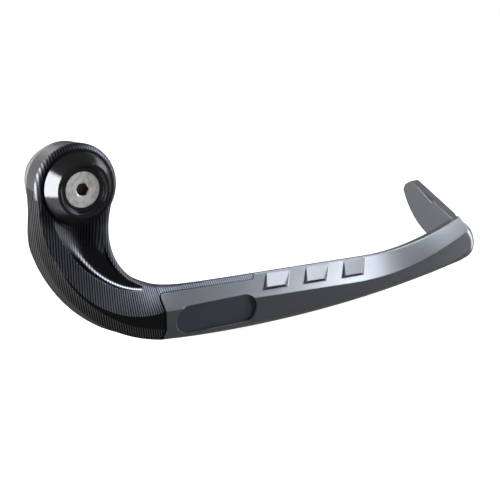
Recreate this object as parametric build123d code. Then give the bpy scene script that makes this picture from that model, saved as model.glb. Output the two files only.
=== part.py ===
import os
from math import cos, pi, radians, sin, sqrt, tan

from build123d import *

# Lever guard for a motorbike handlebar end. Millimetres, +Z up, +X along the blade.
# The origin is the middle of the seat that meets the bar end, and the screw runs along Y,
# with its head towards -Y.

# Stack on the screw axis, from the seat outwards
collar_length = 8.0
collar_seat_r = 11.3
collar_arm_r = 13.6
arm_thick = 11.0
washer_base_r = 12.0
washer_rim_r = 9.2
washer_height = 4.6
washer_recess_r = 8.1
washer_recess_deep = 1.5

# Bar end screw, M6 countersunk
screw_d = 6.0
screw_pitch = 1.0
screw_head_d = 12.0
screw_length = 40.0
screw_hex = 4.0
screw_hex_deep = 2.5
screw_point = 0.5
thread_depth = 0.325
thread_lead = 0.3
socket_bevel = 0.35

# Arm: a round head, and a C that twists from facing outwards to carrying the blade
head_r = 14.5
head_crown = 2.4
neck_waist = 5.9
outer_r = 55.4
outer_drop = 6.5
inner_r = 22.9
inner_x = 37.8
inner_drop = 19.8
seam_x = 30.5
arm_corner_neck = 4.5
arm_edge = 0.4
seam_bevel = 4.8
seam_bevel_back = 2.8

# Scoop milled in the inner side of the C, as shares of its face: it narrows from the neck to a point
crease_share_neck = 0.132
crease_share_point = 0.80
crease_bow_share = 1.45
rim_share_neck = 0.79
rim_share_point = 0.905
scoop_share = 0.30
scoop_end_share = 0.95
scoop_over = 1.0
scoop_pad = 0.8

# Blade outline: top edge, crease and belly over X
blade_end = 186.0
bevel_back = 7.0
crease_drop = 7.9
crease_fall = 0.060
crease_kick_x = 118.0
crease_lift = 18.5
top_fall = 0.044
top_kick_x = 130.0
top_lift = 13.2
belly_sag = 2.9
belly_low_x = 88.0
belly_bevel = 2.2
belly_back_rise = 1.0
blend_length = 26.0
top_back_fall = 1.4
top_corner = 0.8

# Tongue of the arm, let into the blade from behind
tongue_end = 73.0
tongue_lip = 1.9
tongue_web_thick = 3.0
tongue_web_share = 0.842
tongue_corner_r = 2.2

# Pads on the bevel
pad_count = 3
pad_first_x = 78.6
pad_pitch = 19.1
pad_width = 11.3
pad_skew = 3.95
pad_low = 2.8
pad_top = 1.1
pad_rise = 1.5
pad_draft_right = 2.65
pad_draft_left = 0.55
pad_draft_low = 0.3
pad_root = 0.6

# Rounded nose at the blade's end
nose_out = 1.2
nose_rise = 5.2
nose_top_share = 0.86
nose_low_r = 6.2
nose_front_r = 4.5
nose_shoulder = 4.7
nose_shoulder_back = 2.0

# Return fin behind the nose
fin_inset = 3.35
fin_thick = 4.3
fin_reach = 24.0
fin_slope = 0.43
fin_end_back = 3.8
fin_end_drop = 2.1
fin_heel_back = 1.2
fin_heel_drop = 2.7
fin_belly_back = 1.7
fin_belly_drop = 14.8
fin_root_drop = 14.9
fin_fair = 5.0
fin_fair_in = 1.69
fin_relief = 1.4
fin_relief_start = 9.5
fin_relief_length = 10.5

# Blank badge inlay
badge_length = 35.0
badge_height = 10.2
badge_x = 53.1
badge_drop_share = 0.5956
badge_tilt = 1.6
badge_sunk = 1.0
badge_thick = 0.8

# Screws and inserts that hold the blade to the tongue, M4 countersunk
fix_d = 4.0
fix_pitch = 0.7
fix_head_d = 8.0
fix_hex = 2.5
fix_hex_deep = 1.4
fix_length = 7.0
fix_first_x = 45.0
fix_spacing = 17.0
fix_count = 2
fix_drop_share = 0.466
insert_d = 5.6
insert_sunk = 0.6

# Pockets that keep the moulded wall even, open at the back
pocket_count = 4
pocket_first_x = 82.5
pocket_pitch = 19.0
pocket_width = 15.0
pocket_deep = 4.6
pocket_share = 0.52
pocket_round_share = 0.16

# Clearances
bolt_play = 0.2
seat_play = 0.05
slot_play = 0.15

arm_back = -collar_length
face_y = arm_back - arm_thick
bevel_y = face_y + bevel_back
outer_x = outer_r - head_r
web_y = arm_back - tongue_web_thick


def circle_below(x, centre_x, centre_z, r):
    return centre_z - sqrt(r ** 2 - (x - centre_x) ** 2)


def tip_lift(x, start, lift):
    """Upward sweep of an edge from x = start, which has risen by lift at the blade's end."""
    return lift * (max(0.0, x - start) / (blade_end - start)) ** 2


def top_z(x):
    if x < inner_x:
        return circle_below(x, inner_x, -inner_drop, inner_r)
    return -inner_drop - inner_r - top_fall * (x - inner_x) + tip_lift(x, top_kick_x, top_lift)


def crease_z(x):
    lift = tip_lift(x, crease_kick_x, crease_lift)
    return top_z(seam_x) - crease_drop - crease_fall * (x - seam_x) + lift


def belly_z(x):
    start = circle_below(seam_x, outer_x, -outer_drop, outer_r)
    return start - belly_sag * (1 - ((x - belly_low_x) / (belly_low_x - seam_x)) ** 2)


def between(start, end, t):
    return start + (end - start) * t


def toward(start, end, length):
    step = Vector(*end) - Vector(*start)
    return Vector(*start) + step.normalized() * length


def section(place, wall_back, wall, bevel, crease, top, corner, top_back):
    """Closed outline from (s, y) corners, walked from the outer wall over the face to the back."""
    face_end = toward(top, crease, corner)
    top_start = toward(top, top_back, corner)
    p = [place(*q) for q in (wall_back, wall, bevel, crease)]
    q = [place(*v) for v in ((face_end.X, face_end.Y), top, (top_start.X, top_start.Y), top_back)]
    edges = [Line(p[0], p[1]), Line(p[1], p[2]), Line(p[2], p[3]), Line(p[3], q[0])]
    edges += [Bezier(q[0], q[1], q[2]), Line(q[2], q[3]), Line(q[3], p[0])]
    return make_face(edges)


def blade_section(x):
    grow = 1 - max(0.0, 1 - (x - seam_x) / blend_length) ** 2
    low = between(seam_bevel, belly_bevel, grow)
    low_back = between(seam_bevel_back, belly_bevel, grow)
    belly = belly_z(x)
    return section(
        lambda s, y: (x, y, s),
        (belly + belly_back_rise, arm_back),
        (belly, face_y + low_back),
        (belly + low, face_y),
        (crease_z(x), face_y),
        (top_z(x), bevel_y),
        top_corner,
        (top_z(x) - top_back_fall * grow, arm_back),
    )


def ray_reach(angle, centre_x, centre_z, r):
    """Distance from the pivot of the C's sections to a circle of its outline."""
    dx = seam_x - centre_x
    dz = -outer_drop - centre_z
    along = dx * cos(angle) + dz * sin(angle)
    return -along + sqrt(along ** 2 - dx ** 2 - dz ** 2 + r ** 2)


def place_in_c(angle, s, y):
    return seam_x + s * cos(angle), y, -outer_drop + s * sin(angle)


def arm_face(t):
    """Corners (s, y) of the C's outer face at t, from 0 at the neck to 1 at the seam."""
    angle = radians(180 + 90 * t)
    out = ray_reach(angle, outer_x, -outer_drop, outer_r)
    waist = neck_waist * max(0.0, 1 - (t / 0.9) ** 2) ** 1.5
    inner = ray_reach(angle, inner_x, -inner_drop, inner_r) + waist
    bevel = between(arm_edge, seam_bevel, 1 - (1 - t) ** 1.5)
    seam_face = crease_z(seam_x) - belly_z(seam_x) - seam_bevel
    crease = bevel + between(arm_edge, seam_face, t ** 4)
    return (
        (out - bevel, between(face_y + arm_edge, face_y, t)),
        (out - crease, face_y),
        (inner, between(face_y, bevel_y, t ** 2)),
    )


def arm_section(t):
    """Section of the C at t, in a plane through its pivot."""
    angle = radians(180 + 90 * t)
    out = ray_reach(angle, outer_x, -outer_drop, outer_r)
    bevel, crease, top = arm_face(t)
    return section(
        lambda s, y: place_in_c(angle, s, y),
        (out - between(head_r - collar_arm_r, belly_back_rise, t), arm_back),
        (out, between(face_y + 0.6 * arm_thick, face_y + seam_bevel_back, t)),
        bevel,
        crease,
        top,
        between(arm_corner_neck, top_corner, t ** 0.5),
        (top[0], arm_back),
    )


def head_section():
    """Section across the middle of the round head, matching its crowned edge."""
    return section(
        lambda s, y: (-s, y, 0),
        (collar_arm_r, arm_back),
        (head_r, face_y + head_crown),
        (head_r - 0.3 * head_crown, face_y + 0.3 * head_crown),
        (head_r - head_crown, face_y),
        (-head_r, face_y),
        1.25 * head_crown,
        (-collar_arm_r, arm_back),
    )


def bar():
    """The whole blade from the seam to the tip, before it is shared with the tongue."""
    steps = 12
    reach = blade_end + nose_out - inner_x
    stations = [seam_x] + [inner_x + reach * i / steps for i in range(steps + 1)]
    return loft([blade_section(x) for x in stations])


def along_y(sketch, start, end):
    """Sketch drawn in X and Z, made solid between two values of Y."""
    return extrude(Plane((0, start, 0), x_dir=(1, 0, 0), z_dir=(0, -1, 0)) * sketch, start - end)


def turned(*points):
    """Ring or disc about the screw axis, from (radius, y) corners."""
    return revolve(make_face(Polyline(*[(r, y) for r, y in points], close=True)), Axis.Y)


def tongue_region(play):
    """Space of the tongue: a lip along the top edge and a web at the back, rounded at the seam."""
    edge = seam_x + play
    end = tongue_end + play
    low = lambda x: top_z(x) - tongue_lip - play
    r = tongue_corner_r
    corner_z = low(edge + r)
    lip = Polyline((edge + r, corner_z), (end - r, low(end - r)))
    tip = TangentArc((end - r, low(end - r)), (end, low(end) + r), tangent=lip % 1)
    side_z = corner_z - r
    rest = Polyline((end, low(end) + r), (end, 0), (edge - 1, 0), (edge - 1, side_z), (edge, side_z))
    corner = RadiusArc((edge, side_z), (edge + r, corner_z), r)
    web_low = between(top_z(inner_x), belly_z(inner_x), tongue_web_share) - play
    web = make_face(Polyline((edge - 1, 0), (edge - 1, web_low), (end, web_low), (end, 0), close=True))
    region = along_y(make_face([lip, tip, rest, corner]), face_y - 1, arm_back + 1)
    return region + along_y(web, web_y, arm_back + 1)


def fix_places():
    for i in range(fix_count):
        x = fix_first_x + i * fix_spacing
        yield x, between(top_z(x), belly_z(x), fix_drop_share)


def rod(x, z, r, start, end):
    return along_y(Pos(x, z) * Circle(r), start, end)


def thread_r(d, pitch):
    return d / 2 - thread_depth * pitch


def countersunk(x, z, d, head_d, face, length, outward):
    """Body of a countersunk screw on Y, with its flat face at y = face. outward is -1 or 1."""
    steps = [(0, 0), (head_d / 2, 0), (d / 2, (head_d - d) / 2), (d / 2, length), (0, length)]
    profile = Polyline(*[(r, face - outward * down) for r, down in steps], close=True)
    return Pos(x, 0, z) * revolve(make_face(profile), Axis.Y)


def hex_socket(x, z, size, deep, face, outward):
    key = RegularPolygon(size / sqrt(3), 6)
    return along_y(Pos(x, z) * key, face - outward * deep, face + outward)


def scoop_section(u):
    """Round-bottomed cut across the C at u, from 0 at the neck to 1 at its point."""
    t = scoop_end_share * u
    angle = radians(180 + 90 * t)
    _, crease, top = arm_face(t)
    shares = (
        between(crease_share_neck, crease_share_point, u ** crease_bow_share),
        between(rim_share_neck, rim_share_point, u),
    )
    ends = [Vector(*[between(a, b, share) for a, b in zip(crease, top)]) for share in shares]
    across = (ends[1] - ends[0]) / 2
    deep = 2 * across.length * scoop_share * sin(pi * u) ** 0.7
    r = (across.length ** 2 + deep ** 2) / (2 * deep)
    half = across.normalized() * sqrt(r ** 2 - (r - deep - scoop_over) ** 2)
    into = Vector(across.Y, -across.X).normalized()
    middle = ends[0] + across
    lip = middle - into * scoop_over
    p = [place_in_c(angle, q.X, q.Y) for q in (lip - half, middle + into * deep, lip + half)]
    return make_face([ThreePointArc(*p), Line(p[2], p[0])])


def scoop():
    steps = 8
    cut = loft([scoop_section((i + 0.5) / steps) for i in range(steps)])
    return cut - rod(0, 0, washer_base_r + scoop_pad, face_y - arm_thick, arm_back)


def make_arm(blade):
    crown = head_r - head_crown
    profile = [
        Line((0, arm_back), (collar_arm_r, arm_back)),
        Line((collar_arm_r, arm_back), (head_r, face_y + head_crown)),
        TangentArc((head_r, face_y + head_crown), (crown, face_y), tangent=(0, -1)),
        Line((crown, face_y), (0, face_y)), Line((0, face_y), (0, arm_back)),
    ]
    head = revolve(make_face(profile), Axis.Y)
    steps = 7
    neck = loft([head_section(), arm_section(0)], ruled=True)
    hook = loft([arm_section(i / steps) for i in range(steps + 1)])
    arm = head + neck + hook - scoop()
    arm += blade & tongue_region(0)
    arm -= rod(0, 0, screw_d / 2 + bolt_play, face_y - 1, arm_back + 1)
    for x, z in fix_places():
        arm -= rod(x, z, fix_d / 2 + bolt_play, web_y - 1, arm_back + 1)
        arm -= countersunk(x, z, fix_d, fix_head_d + 2 * seat_play, arm_back, fix_length, 1)
    return arm


def make_washer():
    floor = face_y - washer_height + washer_recess_deep
    rim = face_y - washer_height
    sink = screw_head_d / 2 + seat_play
    hole = screw_d / 2 + bolt_play
    return turned(
        (hole, face_y), (washer_base_r, face_y), (washer_rim_r, rim), (washer_recess_r, rim),
        (washer_recess_r - 0.8, floor), (sink, floor), (hole, floor + sink - hole),
    )


def make_bar_screw():
    """Plain through the pieces it clamps, and at its pitch width along the thread beyond the seat."""
    face = face_y - washer_height + washer_recess_deep
    end = face + screw_length
    shank = screw_d / 2
    thread = thread_r(screw_d, screw_pitch)
    corner = screw_hex / sqrt(3)
    body = turned(
        (0, face), (screw_head_d / 2, face), (shank, face + screw_head_d / 2 - shank),
        (shank, thread_lead), (thread, thread_lead), (thread, end - screw_point),
        (thread - screw_point, end), (0, end),
    )
    mouth = face + socket_bevel
    body -= turned((0, face), (corner, face), (corner - socket_bevel, mouth), (0, mouth))
    return body - hex_socket(0, 0, screw_hex, screw_hex_deep, face, -1)


def make_collar():
    hole = screw_d / 2 + bolt_play
    bevel = 0.5
    return turned(
        (hole, arm_back), (collar_arm_r, arm_back), (collar_arm_r, arm_back + 1.2),
        (collar_seat_r, -bevel), (collar_seat_r - bevel, 0), (hole, 0),
    )


def make_pad(i):
    """Slanted wedge that stands up from the bevel at its low end and dies into it near the top edge."""
    x = pad_first_x + i * pad_pitch + (pad_width - pad_skew) / 2
    foot = Vector(x, face_y, crease_z(x))
    edge = Vector(x, bevel_y, top_z(x))
    along = Vector(1, 0, (crease_z(x + 1) + top_z(x + 1) - foot.Z - edge.Z) / 2)
    bevel = Plane(foot, x_dir=along, z_dir=along.cross(edge - foot))
    run = (edge - foot).length - pad_top - pad_low

    def outline(low_out, high_out):
        """Four corners: the low edge at one height over the bevel, the high edge at another."""
        low, high = pad_draft_low * low_out / pad_rise, run + pad_root
        corners = []
        for up, out, sides in ((low, low_out, (-1, 1)), (high, high_out, (1, -1))):
            for side in sides:
                draft = (pad_draft_left if side < 0 else pad_draft_right) * out / pad_rise
                across = side * (pad_width / 2 - draft) + pad_skew * (up / run - 0.5)
                corners.append((across, pad_low + up, out))
        return bevel * make_face(Polyline(*corners, close=True))

    fall = pad_rise / (run - pad_draft_low)
    return loft([outline(-pad_root, -pad_root), outline(pad_rise, -fall * pad_root)], ruled=True)


def nose():
    """Envelope of the blade: a nose of two arcs with a rounded front edge, and a shoulder over it."""
    x = blade_end + nose_out
    z = belly_z(blade_end) + nose_rise
    top_r = nose_top_share * (top_z(blade_end) - z)
    low_x = x - nose_low_r
    turn = radians(74)
    low = (low_x + nose_low_r * cos(turn), z - nose_low_r * sin(turn))
    run = low[0] - seam_x + blend_length
    floor = (low[0] - run, low[1] - run / tan(turn))
    top = (x - top_r, z + top_r)
    start = (floor[0], top[1])
    edges = [
        Line(floor, start), Line(start, top), TangentArc(top, (x, z), tangent=(1, 0)),
        TangentArc((x, z), low, tangent=(0, -1)), Line(low, floor),
    ]
    solid = along_y(make_face(edges), face_y, arm_back)
    front = solid.edges().filter_by_position(Axis.Y, face_y - 0.1, face_y + 0.1)
    rounded = fillet(front.filter_by(lambda e: e.center().X > floor[0] + 1), nose_front_r)
    shoulder = Polyline(
        (floor[0], z), (blade_end - nose_shoulder, z), (blade_end - nose_shoulder, 0), (floor[0], 0),
        close=True,
    )
    return rounded + along_y(make_face(shoulder), face_y + nose_shoulder_back, arm_back)


def make_fin():
    """Upright plate behind the nose, faired into it, with a relief along its inner top edge."""
    x = blade_end - fin_inset
    top = top_z(x)
    end = (arm_back + fin_reach, top + fin_slope * fin_reach)
    corner = (end[0] + fin_end_back, end[1] - fin_end_drop)
    heel = (corner[0] + fin_heel_back, corner[1] - fin_heel_drop)
    belly = (end[0] - fin_belly_back, end[1] - fin_belly_drop)
    root = (arm_back, top - fin_root_drop)
    front = arm_back - fin_fair
    outline = [
        Line((front, top - fin_slope * fin_fair), end), Line(end, corner), Line(corner, heel),
        ThreePointArc(heel, belly, root), Line(root, (front, root[1])),
        Line((front, root[1]), (front, top - fin_slope * fin_fair)),
    ]
    side = Plane((x, 0, 0), x_dir=(0, 1, 0), z_dir=(1, 0, 0))
    plate = extrude(side * make_face(outline), -fin_thick)
    fair = Polyline((x - fin_fair_in, front), (x, arm_back), (x, front), close=True)
    plate -= Pos(0, 0, root[1]) * extrude(make_face(fair), end[1] - root[1])
    inner = x - fin_thick
    cuts = []
    for along, size in ((fin_relief_start, fin_relief), (fin_relief_start + fin_relief_length, seat_play)):
        y, z = arm_back + along, top + fin_slope * along
        rim = Polyline((inner, y, z), (inner + size, y, z), (inner, y, z - size), close=True)
        cuts.append(make_face(rim))
    return plate - loft(cuts, ruled=True)


def badge_outline(play):
    pill = SlotOverall(badge_length + 2 * play, badge_height + 2 * play)
    z = between(top_z(badge_x), belly_z(badge_x), badge_drop_share)
    return Pos(badge_x, z) * Rot(0, 0, -badge_tilt) * pill


def make_guard(blade):
    guard = (blade & nose()) + make_fin()
    for i in range(pad_count):
        guard += make_pad(i)
    guard -= tongue_region(slot_play)
    badge_floor = face_y + badge_sunk + badge_thick
    guard -= along_y(badge_outline(0), face_y - 1, badge_floor)
    for x, z in fix_places():
        guard -= rod(x, z, insert_d / 2, arm_back - fix_length - 0.4, web_y + 1)
    for i in range(pocket_count):
        x = pocket_first_x + i * pocket_pitch
        height = pocket_share * (top_z(x) - belly_z(x))
        hollow = RectangleRounded(pocket_width, height, pocket_round_share * height)
        middle = (belly_z(x) + top_z(x)) / 2
        guard -= along_y(Pos(x, middle) * hollow, arm_back - pocket_deep, arm_back + 1)
    return guard


def make_inlay():
    back = face_y + badge_sunk + badge_thick
    return along_y(badge_outline(-seat_play), back - badge_thick, back)


def make_fixings():
    screws, inserts = [], []
    thread = thread_r(fix_d, fix_pitch)
    tapped = thread + seat_play
    for x, z in fix_places():
        screw = countersunk(x, z, 2 * thread, fix_head_d, arm_back, fix_length, 1)
        screws.append(screw - hex_socket(x, z, fix_hex, fix_hex_deep, arm_back, 1))
        sleeve = rod(x, z, insert_d / 2 - seat_play, arm_back - fix_length, web_y - insert_sunk)
        inserts.append(sleeve - rod(x, z, tapped, arm_back - fix_length - 1, web_y + 1))
    return Compound(children=screws), Compound(children=inserts)


os.makedirs("parts", exist_ok=True)
blade_blank = bar()
guard_screws, thread_inserts = make_fixings()
nodes = {
    "arm": make_arm(blade_blank),
    "cup_washer": make_washer(),
    "bar_end_collar": make_collar(),
    "bar_end_screw": make_bar_screw(),
    "guard_blade": make_guard(blade_blank),
    "badge_inlay": make_inlay(),
    "guard_screws": guard_screws,
    "thread_inserts": thread_inserts,
}
for name, shape in nodes.items():
    export_step(shape, f"parts/{name}.step")
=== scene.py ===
from math import atan2, cos, hypot, pi, sin, sqrt

import bpy
from mathutils import Matrix, Vector


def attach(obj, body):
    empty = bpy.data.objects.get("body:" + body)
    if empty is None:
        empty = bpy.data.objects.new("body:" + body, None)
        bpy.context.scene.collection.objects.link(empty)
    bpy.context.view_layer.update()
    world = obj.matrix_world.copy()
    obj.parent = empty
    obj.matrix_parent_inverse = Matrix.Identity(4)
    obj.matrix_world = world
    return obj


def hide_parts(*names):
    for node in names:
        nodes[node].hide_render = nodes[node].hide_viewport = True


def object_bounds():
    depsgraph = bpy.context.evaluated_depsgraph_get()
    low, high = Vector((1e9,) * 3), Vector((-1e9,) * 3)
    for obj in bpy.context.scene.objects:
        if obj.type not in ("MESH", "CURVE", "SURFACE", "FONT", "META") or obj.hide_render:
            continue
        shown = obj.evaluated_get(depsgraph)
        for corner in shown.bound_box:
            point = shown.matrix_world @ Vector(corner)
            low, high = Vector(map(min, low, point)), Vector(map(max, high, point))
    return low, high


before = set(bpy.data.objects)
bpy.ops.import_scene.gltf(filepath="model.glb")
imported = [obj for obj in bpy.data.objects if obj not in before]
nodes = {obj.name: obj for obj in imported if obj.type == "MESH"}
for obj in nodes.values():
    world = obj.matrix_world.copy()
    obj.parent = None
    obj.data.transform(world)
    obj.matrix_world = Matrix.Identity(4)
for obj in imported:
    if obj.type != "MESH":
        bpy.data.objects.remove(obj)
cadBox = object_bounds()
scene = bpy.context.scene
mm = 0.001
print("frame loaded:", ", ".join(sorted(nodes)))


def newMaterial(name, look):
    material = bpy.data.materials.new(name)
    material.use_nodes = True
    tree = material.node_tree
    shader = tree.nodes["Principled BSDF"]
    shader.inputs["Base Color"].default_value = (*look["colour"], 1)
    shader.inputs["Metallic"].default_value = look["metallic"]
    shader.inputs["Roughness"].default_value = look["roughness"]
    shader.inputs["Specular IOR Level"].default_value = look.get("specular", 0.5)
    material.diffuse_color = (*look["colour"], 1)
    return material, tree, shader


def addNode(tree, kind, **settings):
    node = tree.nodes.new(kind)
    for key, value in settings.items():
        if key in node.inputs:
            node.inputs[key].default_value = value
        else:
            setattr(node, key, value)
    return node


def objectPlace(tree):
    return addNode(tree, "ShaderNodeTexCoord").outputs["Object"]


def placeAxes(tree):
    place = addNode(tree, "ShaderNodeSeparateXYZ")
    tree.links.new(objectPlace(tree), place.inputs[0])
    return place.outputs


def screwPlace(tree):
    # distance from the bar end screw's axis, and place along it
    place = placeAxes(tree)
    flat = addNode(tree, "ShaderNodeCombineXYZ")
    tree.links.new(place["X"], flat.inputs[0])
    tree.links.new(place["Z"], flat.inputs[2])
    radius = addNode(tree, "ShaderNodeVectorMath", operation="LENGTH")
    tree.links.new(flat.outputs[0], radius.inputs[0])
    return radius.outputs["Value"], place["Y"]


def mathNode(tree, operation, first, second=None):
    node = addNode(tree, "ShaderNodeMath", operation=operation)
    for socket, value in zip(node.inputs, (first, second)):
        if value is None:
            continue
        if isinstance(value, (int, float)):
            socket.default_value = value
        else:
            tree.links.new(value, socket)
    return node.outputs[0]


edgeSamples = 6


def softEdge(tree, radius):
    # rounds the look of a sharp edge
    return addNode(tree, "ShaderNodeBevel", samples=edgeSamples, Radius=radius).outputs[0]


def reliefFrom(tree, shader, height, look):
    bump = addNode(tree, "ShaderNodeBump", Strength=1.0, Distance=look["depth"])
    tree.links.new(height, bump.inputs["Height"])
    tree.links.new(softEdge(tree, look["edge"]), bump.inputs["Normal"])
    tree.links.new(bump.outputs[0], shader.inputs["Normal"])


def paint(nodeName, material):
    node = nodes[nodeName]
    node.data.materials.clear()
    node.data.materials.append(material)


# arm: black anodised. The cutter's passes stand bright on its face and faint on its walls, which painted
# shade darkens further; the scoop, the flat that runs into the blade and the back of the head are smooth
milled = {
    "colour": (0.012, 0.0125, 0.0145),
    "crest": (0.125, 0.131, 0.15),
    "metallic": 1.0,
    "roughness": 0.45,
    "across": (1.0, 0.0, 0.0),         # the way that the passes step
    "pitch": 0.95 * mm,
    "sharp": 1.5,                      # more makes the crests thinner
    "depth": 0.025 * mm,
    "edge": 0.14 * mm,
}
milledFace = dict(
    milled,
    seat=(13.1 * mm, 12.8 * mm),       # painted shade: plain dark face within this radius, round the washer
    crown=(18.0 * mm, 15.0 * mm),      # painted shade: fainter passes within this radius, on the crown
    crownCrest=(0.06, 0.063, 0.072),
    lowEndShade=(5.0 * mm, 22.0 * mm),      # X over which painted shade darkens the passes towards the blade X over which the passes get light again, on the tongue's lip, where that painted shade ends
    lip=(30.6 * mm, 32.6 * mm),        # X over which they get light again, on the tongue's lip
    lowShadeColour=(0.003, 0.0031, 0.0036),
    lowShadeCrest=(0.052, 0.0545, 0.0625),
)
# arm's walls: the passes run another way and closer; the near-black colour and very low shine are painted
# shade
shadedMilledWall = {
    "colour": (0.0005, 0.0005, 0.0005),
    "crest": (0.04, 0.0395, 0.04),
    "metallic": 0.0,
    "roughness": 0.5,
    "specular": 0.015,
    "across": (0.832, -0.555, 0.0),
    "pitch": 0.79 * mm,
    "sharp": 3.5,
    "depth": 0.025 * mm,
    "edge": 0.14 * mm,
}
smoothCut = dict(
    milled,
    colour=(0.022, 0.023, 0.026),
    crest=(0.042, 0.043, 0.049),
    roughness=0.15,
    depth=0.01 * mm,
    runOut=(-26.0 * mm, -17.0 * mm),   # above this the scoop has the face's roughness, and painted shade makes it dark like the face beside it
    runOutShadeColour=(0.006, 0.0062, 0.007),
    runOutShadeCrest=(0.036, 0.038, 0.043),
)
headBack = {
    "colour": (0.068, 0.066, 0.066),
    "metallic": 1.0,
    "roughness": 0.38,
    "grain": 1800.0,
    "depth": 0.004 * mm,
    "edge": 0.14 * mm,
}


def scallops(tree, along, pitch):
    turns = mathNode(tree, "MULTIPLY", along, pi / pitch)
    groove = mathNode(tree, "POWER", mathNode(tree, "SINE", turns), 2.0)
    return mathNode(tree, "SUBTRACT", 1.0, groove)


def fadeIn(tree, value, start, end):
    fade = addNode(tree, "ShaderNodeMapRange", interpolation_type="SMOOTHSTEP")
    fade.inputs["From Min"].default_value = start
    fade.inputs["From Max"].default_value = end
    tree.links.new(value, fade.inputs["Value"])
    return fade.outputs["Result"]


def mixColours(tree, share, first, second):
    mix = addNode(tree, "ShaderNodeMix", data_type="RGBA")
    # the node's sockets for colours are the last of several that share their names
    sockets = (mix.inputs[0], mix.inputs[6], mix.inputs[7])
    for socket, value in zip(sockets, (share, first, second)):
        if isinstance(value, tuple):
            socket.default_value = (*value, 1)
        else:
            tree.links.new(value, socket)
    return mix.outputs[2]


def milledFinish(name, look):
    material, tree, shader = newMaterial(name, look)
    along = addNode(tree, "ShaderNodeVectorMath", operation="DOT_PRODUCT")
    tree.links.new(objectPlace(tree), along.inputs[0])
    along.inputs[1].default_value = look["across"]
    height = scallops(tree, along.outputs["Value"], look["pitch"])
    crest = mathNode(tree, "POWER", height, look["sharp"])
    lines = mixColours(tree, crest, look["colour"], look["crest"])
    if "runOut" in look:
        # painted shade: the scoop's top is darkened as it runs out into the face
        above = fadeIn(tree, placeAxes(tree)["Z"], *look["runOut"])
        shadedLines = mixColours(tree, crest, look["runOutShadeColour"], look["runOutShadeCrest"])
        lines = mixColours(tree, above, lines, shadedLines)
        rougher = mathNode(tree, "MULTIPLY", above, milled["roughness"] - look["roughness"])
        tree.links.new(mathNode(tree, "ADD", rougher, look["roughness"]), shader.inputs["Roughness"])
    if "seat" in look:
        x = placeAxes(tree)["X"]
        # painted shade: the passes darken towards the blade and lighten again on the tongue's lip
        beforeLip = mathNode(tree, "SUBTRACT", 1.0, fadeIn(tree, x, *look["lip"]))
        low = mathNode(tree, "MULTIPLY", fadeIn(tree, x, *look["lowEndShade"]), beforeLip)
        shadedLines = mixColours(tree, crest, look["lowShadeColour"], look["lowShadeCrest"])
        lines = mixColours(tree, low, lines, shadedLines)
        # painted shade: fainter passes on the crown and a plain dark ring round the washer
        radius = screwPlace(tree)[0]
        faint = mixColours(tree, crest, look["colour"], look["crownCrest"])
        lines = mixColours(tree, fadeIn(tree, radius, *look["crown"]), lines, faint)
        lines = mixColours(tree, fadeIn(tree, radius, *look["seat"]), lines, look["colour"])
    tree.links.new(lines, shader.inputs["Base Color"])
    reliefFrom(tree, shader, height, look)
    return material


# washer and collar: turned smooth on a lathe
turned = {
    "colour": (0.04, 0.04, 0.043),
    "metallic": 0.9,
    "roughness": 0.13,
    "pitch": 0.16 * mm,
    "depth": 0.0015 * mm,
    "edge": 0.22 * mm,
}
collar = dict(turned, colour=(0.06, 0.059, 0.059), metallic=0.5, roughness=0.45, depth=0.004 * mm)


def turnedFinish(name, look):
    material, tree, shader = newMaterial(name, look)
    along = mathNode(tree, "ADD", *screwPlace(tree))
    turns = mathNode(tree, "MULTIPLY", along, 2 * pi / look["pitch"])
    reliefFrom(tree, shader, mathNode(tree, "SINE", turns), look)
    return material


# screws: plain stainless steel with a slight grain and a worn head; painted shade makes the socket dark and
# brown
steel = {
    "colour": (0.76, 0.745, 0.72),
    "metallic": 0.8,
    "roughness": 0.36,
    "grain": 900.0,
    "depth": 0.04 * mm,
    "edge": 0.2 * mm,
}
headSteel = dict(
    steel,
    worn=(0.5, 0.48, 0.45),
    wearGrain=620.0,
    wearDetail=4.0,
    wear=(0.45, 0.72),                 # noise at which wear sets in, and at which it is full
    socketShade=(0.10, 0.065, 0.045),
    socketShadeStart=-21.9 * mm,
    socketShadeFull=-21.0 * mm,
    socketShadeEnd=-18.9 * mm,
    shank=-9.0 * mm,
)
dullSteel = dict(steel, colour=(0.26, 0.255, 0.25), roughness=0.42)    # shank, and the screws behind
threadSteel = dict(dullSteel, colour=(0.2, 0.196, 0.19), grain=2400.0, depth=0.006 * mm, edge=0.02 * mm)
brass = dict(steel, colour=(0.42, 0.3, 0.12), roughness=0.32)


grainNoise = {"Detail": 3.0, "Roughness": 0.6}


def grainFinish(name, look):
    material, tree, shader = newMaterial(name, look)
    noise = addNode(tree, "ShaderNodeTexNoise", Scale=look["grain"], **grainNoise)
    tree.links.new(objectPlace(tree), noise.inputs["Vector"])
    reliefFrom(tree, shader, noise.outputs[0], look)
    return material


def socketFinish(name, look):
    material = grainFinish(name, look)
    tree = material.node_tree
    depth = placeAxes(tree)["Y"]
    wear = addNode(tree, "ShaderNodeTexNoise", Scale=look["wearGrain"], Detail=look["wearDetail"])
    tree.links.new(objectPlace(tree), wear.inputs["Vector"])
    metal = mixColours(tree, fadeIn(tree, wear.outputs[0], *look["wear"]), look["colour"], look["worn"])
    # painted shade: darker and browner with depth into the socket, as far as the shank
    inSocket = fadeIn(tree, depth, look["socketShadeStart"], look["socketShadeFull"])
    beforeShank = mathNode(tree, "LESS_THAN", depth, look["socketShadeEnd"])
    metal = mixColours(tree, mathNode(tree, "MULTIPLY", inSocket, beforeShank), metal, look["socketShade"])
    onShank = mathNode(tree, "GREATER_THAN", depth, look["shank"])
    metal = mixColours(tree, onShank, metal, dullSteel["colour"])
    tree.links.new(metal, tree.nodes["Principled BSDF"].inputs["Base Color"])
    return material


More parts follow.
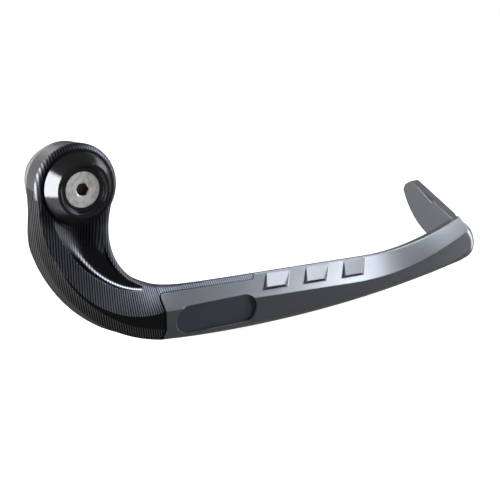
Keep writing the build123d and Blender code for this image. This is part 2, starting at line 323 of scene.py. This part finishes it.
# blade: satin moulded plastic, with painted shade that darkens it in the joint with the arm; badge: matte
# blank plate
plastic = {
    "colour": (0.024, 0.026, 0.029),
    "metallic": 0.0,
    "roughness": 0.29,
    "specular": 0.6,
    "grain": 2600.0,
    "depth": 0.01 * mm,
    "edge": 0.5 * mm,
    "jointShade": (31.8 * mm, 31.2 * mm),   # X from which painted shade darkens it, and where the painted shade is full
    "jointShadeColour": (0.002, 0.002, 0.002),
}
badge = dict(plastic, colour=(0.01, 0.015, 0.02), roughness=0.62, specular=0.25, edge=0.15 * mm)


def bladeFinish(name, look):
    material = grainFinish(name, look)
    tree = material.node_tree
    shader = tree.nodes["Principled BSDF"]
    # painted shade in the joint with the arm: darker colour and less shine
    jointShade = fadeIn(tree, placeAxes(tree)["X"], *look["jointShade"])
    colour = mixColours(tree, jointShade, look["colour"], look["jointShadeColour"])
    tree.links.new(colour, shader.inputs["Base Color"])
    clear = mathNode(tree, "SUBTRACT", 1.0, jointShade)
    shine = mathNode(tree, "MULTIPLY", clear, look["specular"])
    tree.links.new(shine, shader.inputs["Specular IOR Level"])
    return material


finishes = {
    "arm": milledFinish("milledBlack", milledFace),
    "cup_washer": turnedFinish("turnedBlack", turned),
    "bar_end_collar": turnedFinish("turnedGrey", collar),
    "bar_end_screw": socketFinish("socketSteel", headSteel),
    "guard_blade": bladeFinish("satinPlastic", plastic),
    "badge_inlay": grainFinish("badgePlastic", badge),
    "thread_inserts": grainFinish("insertBrass", brass),
    "guard_screws": grainFinish("stainlessSteel", dullSteel),
}
for nodeName, material in finishes.items():
    paint(nodeName, material)
print("finishes on", len(finishes), "CAD pieces")


# arm's outer wall: it leans out towards the back along the C, which the CAD wall does not
armWall = {
    "seamX": 30.5 * mm,
    "drop": 6.5 * mm,
    "outerR": 55.4 * mm,
    "headR": 14.5 * mm,
    "back": -8.0 * mm,
    "frontAtNeck": -12.4 * mm,
    "frontAtSeam": -16.2 * mm,
    "lean": 2.3 * mm,
    "grows": 0.22,                     # share of the C over which the lean sets in
    "fades": 0.75,                     # and from where it dies away
    "skin": 2.0 * mm,                  # depth in from the outline that still counts as wall
    "facing": 0.5,                     # how far a normal must point outwards to be tilted
}
# a point on each face of the arm that has a finish of its own: share of the C, depth in from its outline, Y
armZones = {
    "wall": [(0.5, 0.5, -11.0), (0.5, 1.6, -16.6), (-0.05, 0.4, -12.0), (-0.03, 0.25, -16.3)],
    "smooth": [(0.45, 15.0, -15.6), (0.136, 17.0, -18.0), (0.92, 7.5, -19.0)],
    "back": [(-0.35, 0.4, -12.0)],
}


def smoothStep(share):
    share = min(1.0, max(0.0, share))
    return share * share * (3 - 2 * share)


def outlineReach(angle):
    offset = armWall["seamX"] + armWall["headR"] - armWall["outerR"]
    along = -offset * cos(angle)
    return -along + sqrt(along ** 2 - offset ** 2 + armWall["outerR"] ** 2)


def wallLean(place):
    # how far a point of the wall moves out, and the slope that it then has
    dx, dz = place.x - armWall["seamX"], place.z + armWall["drop"]
    angle = atan2(-dz, -dx)
    turn = angle / (pi / 2)
    if not 0 < turn < 1 or hypot(dx, dz) < outlineReach(angle) - armWall["skin"]:
        return 0.0, 0.0
    front = armWall["frontAtNeck"] + turn * (armWall["frontAtSeam"] - armWall["frontAtNeck"])
    dying = 1 - smoothStep((turn - armWall["fades"]) / (1 - armWall["fades"]))
    most = armWall["lean"] * smoothStep(turn / armWall["grows"]) * sqrt(dying)
    share = min(1.0, max(0.0, (place.y - front) / (armWall["back"] - front)))
    return most * share, most / (armWall["back"] - front)


def leanOut(mesh):
    leans = [wallLean(vertex.co) for vertex in mesh.vertices]
    outward = [
        Vector((vertex.co.x - armWall["seamX"], 0, vertex.co.z + armWall["drop"])).normalized()
        for vertex in mesh.vertices
    ]
    normals = [Vector(corner.vector) for corner in mesh.corner_normals]
    for loop in mesh.loops:
        normal = normals[loop.index]
        if normal.dot(outward[loop.vertex_index]) > armWall["facing"]:
            normal.y -= leans[loop.vertex_index][1]
            normal.normalize()
    for vertex, (out, _), way in zip(mesh.vertices, leans, outward):
        vertex.co += out * way
    mesh.normals_split_custom_set(normals)


placeDigits, normalDigits = 3, 2       # of millimetres and of a unit normal, for corners that count as one


def smoothFaces(mesh):
    # polygons that meet at a shared corner with one normal belong to one smooth face
    corners = {}
    keys = []
    for polygon in mesh.polygons:
        mine = []
        for loop in polygon.loop_indices:
            place = mesh.vertices[mesh.loops[loop].vertex_index].co / mm
            normal = mesh.corner_normals[loop].vector
            mine.append((
                *(round(v, placeDigits) for v in place),
                *(round(v, normalDigits) for v in normal),
            ))
        keys.append(mine)
        for key in mine:
            corners.setdefault(key, []).append(polygon.index)

    def faceAt(start):
        found, edge = {start}, [start]
        while edge:
            for key in keys[edge.pop()]:
                fresh = [index for index in corners[key] if index not in found]
                found.update(fresh)
                edge.extend(fresh)
        return found

    return faceAt


def zonePoint(turn, inset, y):
    angle = pi / 2 * turn
    reach = outlineReach(angle) - inset * mm
    return Vector((armWall["seamX"] - reach * cos(angle), y * mm, -armWall["drop"] - reach * sin(angle)))


def buildArmSkin(zoneFinishes):
    mesh = nodes["arm"].data.copy()
    mesh.transform(nodes["arm"].matrix_world)
    faceAt = smoothFaces(mesh)
    for zone, points in armZones.items():
        mesh.materials.append(zoneFinishes[zone])
        for point in points:
            place = zonePoint(*point)
            nearest = min(mesh.polygons, key=lambda polygon: (polygon.center - place).length)
            face = faceAt(nearest.index)
            print("arm zone", zone, len(face), "triangles")
            for index in face:
                mesh.polygons[index].material_index = len(mesh.materials) - 1
    leanOut(mesh)
    piece = bpy.data.objects.new("armSkin", mesh)
    scene.collection.objects.link(piece)
    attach(piece, "root")
    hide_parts("arm")


buildArmSkin({
    "wall": milledFinish("shadedMilledWall", shadedMilledWall),
    "smooth": milledFinish("smoothCut", smoothCut),
    "back": grainFinish("headBack", headBack),
})
print("arm dressed")


# thread on the free end of the bar end screw
thread = {
    "pitch": 1.0 * mm,
    "radius": 2.54 * mm,
    "rib": 0.45 * mm,
    "ribSides": 3,
    "start": 0.9 * mm,
    "turns": 16.0,
    "perTurn": 28,
}


def threadTree(material):
    tree = bpy.data.node_groups.new("screwThread", "GeometryNodeTree")
    for name in ("Turns", "Radius", "Length", "Rib"):
        tree.interface.new_socket(name=name, in_out="INPUT", socket_type="NodeSocketFloat")
    tree.interface.new_socket(name="Points", in_out="INPUT", socket_type="NodeSocketInt")
    tree.interface.new_socket(name="Geometry", in_out="OUTPUT", socket_type="NodeSocketGeometry")
    given = addNode(tree, "NodeGroupInput").outputs
    spiral = addNode(tree, "GeometryNodeCurveSpiral")
    tree.links.new(given["Points"], spiral.inputs["Resolution"])
    tree.links.new(given["Turns"], spiral.inputs["Rotations"])
    tree.links.new(given["Radius"], spiral.inputs["Start Radius"])
    tree.links.new(given["Radius"], spiral.inputs["End Radius"])
    tree.links.new(given["Length"], spiral.inputs["Height"])
    upright = addNode(tree, "GeometryNodeSetCurveNormal", mode="Z_UP")
    tree.links.new(spiral.outputs[0], upright.inputs["Curve"])
    rib = addNode(tree, "GeometryNodeCurvePrimitiveCircle", Resolution=thread["ribSides"])
    tree.links.new(given["Rib"], rib.inputs["Radius"])
    crestOut = addNode(tree, "GeometryNodeTransform", Rotation=(0.0, 0.0, pi))
    tree.links.new(rib.outputs[0], crestOut.inputs["Geometry"])
    sweep = addNode(tree, "GeometryNodeCurveToMesh")
    sweep.inputs["Fill Caps"].default_value = True
    tree.links.new(upright.outputs[0], sweep.inputs["Curve"])
    tree.links.new(crestOut.outputs[0], sweep.inputs["Profile Curve"])
    joined = addNode(tree, "GeometryNodeRealizeInstances")
    tree.links.new(sweep.outputs[0], joined.inputs[0])
    coat = addNode(tree, "GeometryNodeSetMaterial", Material=material)
    tree.links.new(joined.outputs[0], coat.inputs["Geometry"])
    tree.links.new(coat.outputs[0], addNode(tree, "NodeGroupOutput").inputs[0])
    return tree


def buildThread(material):
    maker = bpy.data.objects.new("threadMaker", bpy.data.meshes.new("threadMaker"))
    scene.collection.objects.link(maker)
    modifier = maker.modifiers.new("thread", "NODES")
    modifier.node_group = threadTree(material)
    given = {
        "Turns": thread["turns"],
        "Points": thread["perTurn"],
        "Radius": thread["radius"],
        "Length": thread["turns"] * thread["pitch"],
        "Rib": thread["rib"],
    }
    for item in modifier.node_group.interface.items_tree:
        if item.in_out == "INPUT":
            modifier[item.identifier] = given[item.name]
    made = maker.evaluated_get(bpy.context.evaluated_depsgraph_get())
    shape = bpy.data.meshes.new_from_object(made)
    shape.transform(Matrix.Translation((0, thread["start"], 0)) @ Matrix.Rotation(-pi / 2, 4, "X"))
    bpy.data.objects.remove(maker)
    piece = bpy.data.objects.new("screwThread", shape)
    scene.collection.objects.link(piece)
    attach(piece, "root")


buildThread(grainFinish("threadSteel", threadSteel))
print("thread built")


# floor: a lit table just under the blade. Its glow reaches the part, and the gloss shows the room beyond it
floorLook = {
    "colour": (0.24, 0.24, 0.24),
    "metallic": 0.0,
    "roughness": 0.9,
    "glow": 0.94,
    "gap": 0.4 * mm,
    "size": 14.0,
}
# paper: a ring behind the floor's far edge, for the camera alone
paperLook = {"sides": 32, "reach": 6.5, "top": 4.0}


def stageSheet(name, corners, faces, material):
    mesh = bpy.data.meshes.new(name)
    mesh.from_pydata(corners, [], faces)
    mesh.materials.append(material)
    sheet = bpy.data.objects.new(name, mesh)
    scene.collection.objects.link(sheet)
    sheet.visible_glossy = sheet.visible_shadow = False
    return sheet


def buildFloor():
    z = cadBox[0].z - floorLook["gap"]
    half = floorLook["size"] / 2
    material, _, shader = newMaterial("paleFloor", floorLook)
    shader.inputs["Emission Color"].default_value = (1, 1, 1, 1)
    shader.inputs["Emission Strength"].default_value = floorLook["glow"]
    square = [(-half, -half, z), (half, -half, z), (half, half, z), (-half, half, z)]
    stageSheet("floor", square, [(0, 1, 2, 3)], material)

    sides, reach = paperLook["sides"], paperLook["reach"]
    turns = [2 * pi * side / sides for side in range(sides)]
    ring = [
        (reach * cos(turn), reach * sin(turn), height)
        for height in (z, paperLook["top"])
        for turn in turns
    ]
    panels = [
        (side, (side + 1) % sides, sides + (side + 1) % sides, sides + side)
        for side in range(sides)
    ]
    paper = stageSheet("paper", ring, panels, material)
    paper.visible_diffuse = False


roomLight = 0.2
coolLight = (0.88, 0.95, 1.08)
softboxes = {
    "softboxOver": {
        "at": (0.86, -0.36, 0.50), "aim": (0.15, -0.015, -0.05), "size": (0.40, 0.36), "watts": 6.2,
        "colour": coolLight,
    },
    "softboxTip": {
        "at": (0.40, -0.17, 0.14), "aim": (0.15, -0.015, -0.03), "size": (0.14, 0.14), "watts": 0.88,
        "colour": coolLight,
    },
    "softboxTop": {
        "at": (0.27, -0.02, 0.20), "aim": (0.10, -0.015, -0.05), "size": (0.10, 0.10), "watts": 0.55,
        "colour": coolLight,
    },
    "softboxLeft": {
        "at": (-0.40, 0.12, 0.055), "aim": (0.0, -0.02, 0.0), "size": (0.44, 0.49), "watts": 15.0,
    },
    "softboxBack": {
        "at": (-0.15, 0.7, 0.5), "aim": (0.08, 0.0, -0.06), "size": (0.6, 0.3), "watts": 4.0,
    },
    "softboxRight": {
        "at": (0.62, 0.30, 0.15), "aim": (0.0, -0.02, 0.0), "size": (0.3, 0.3), "watts": 0.35,
    },
    # the patch of table that shows in the washer's lower left
    "tableCard": {
        "at": (-0.09, 0.0, -0.0636), "aim": (-0.09, 0.0, 0.1), "size": (0.14, 0.12), "watts": 0.075,
        "glossOnly": True,
    },
    "stripRight": {
        "at": (0.57, -0.185, 0.03), "aim": (0.02, -0.02, -0.03), "size": (0.16, 0.50), "watts": 3.4,
    },
}


def buildLights():
    for name, look in softboxes.items():
        light = bpy.data.lights.new(name, "AREA")
        light.shape = "RECTANGLE"
        light.size, light.size_y = look["size"]
        light.energy = look["watts"]
        light.color = look.get("colour", (1, 1, 1))
        lamp = bpy.data.objects.new(name, light)
        if look.get("glossOnly"):
            lamp.visible_camera = lamp.visible_diffuse = False
        at = Vector(look["at"])
        turn = (Vector(look["aim"]) - at).to_track_quat("-Z", "Y")
        lamp.matrix_world = Matrix.Translation(at) @ turn.to_matrix().to_4x4()
        scene.collection.objects.link(lamp)
    world = bpy.data.worlds.new("studio")
    world.use_nodes = True
    room = world.node_tree.nodes["Background"]
    room.inputs["Color"].default_value = (1, 1, 1, 1)
    room.inputs["Strength"].default_value = roomLight
    scene.world = world


# camera at the photo's angle, found from the outline of the object in it
view = {
    "at": (-0.134347, -0.321227, 0.07723),
    "right": (0.83195, -0.55484, 0.0),
    "up": (0.16037, 0.24046, 0.95732),
    "back": (-0.53116, -0.79645, 0.28903),
    "lens": 73.8,
    "sensor": 36.0,
    "nearest": 0.01,
}


def buildCamera():
    data = bpy.data.cameras.new("camera")
    data.lens = view["lens"]
    data.sensor_width = view["sensor"]
    data.clip_start = view["nearest"]
    camera = bpy.data.objects.new("camera", data)
    turn = Matrix((view["right"], view["up"], view["back"])).transposed().to_4x4()
    camera.matrix_world = Matrix.Translation(view["at"]) @ turn
    scene.collection.objects.link(camera)
    scene.camera = camera


buildFloor()
buildLights()
buildCamera()
print("stage: floor, paper,", len(softboxes), "lamps and camera")
scene.view_settings.view_transform = "Standard"
scene.view_settings.look = "None"
